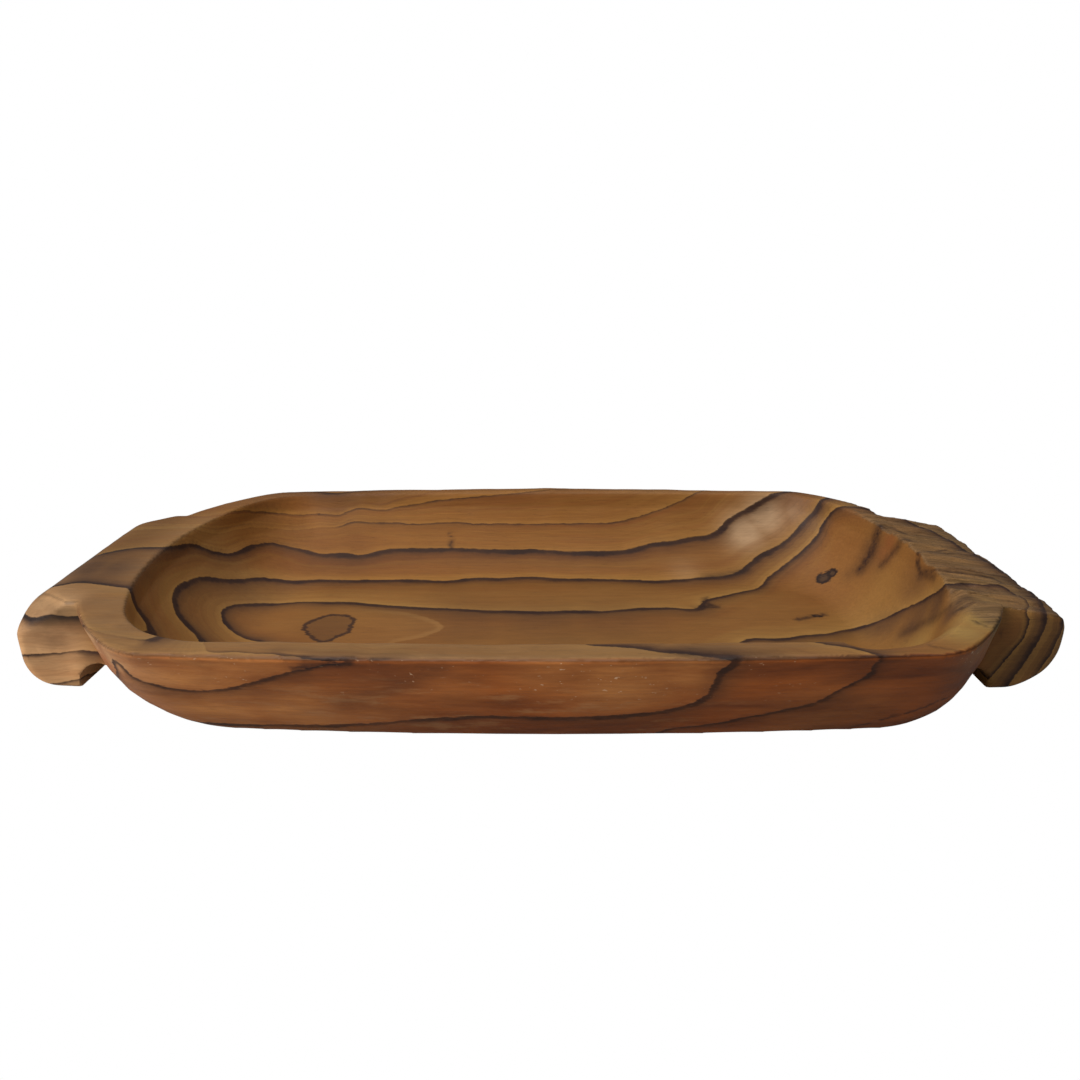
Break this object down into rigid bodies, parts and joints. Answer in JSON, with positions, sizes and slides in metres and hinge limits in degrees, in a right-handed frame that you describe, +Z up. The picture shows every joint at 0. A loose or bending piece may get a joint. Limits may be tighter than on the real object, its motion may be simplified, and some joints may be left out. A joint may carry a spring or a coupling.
{
  "type": "wooden serving tray",
  "caption": "Hand-carved oblong wooden tray with a deep rounded hollow, a smooth rolled handle at one end and a rough-hewn one at the other.",
  "frame": {"origin": "on the table under the middle of the tray's overall box", "axes": "+X along the tray from the smooth handle to the rough-hewn one, +Y across it away from the side the picture shows, +Z up out of the hollow"},
  "size_m": [0.503, 0.24, 0.057],
  "materials": {
    "wood": "satin, oiled, strong dark growth lines"
  },
  "bodies": {
    "root": {"tray": "wood"}
  },
  "joints": []
}
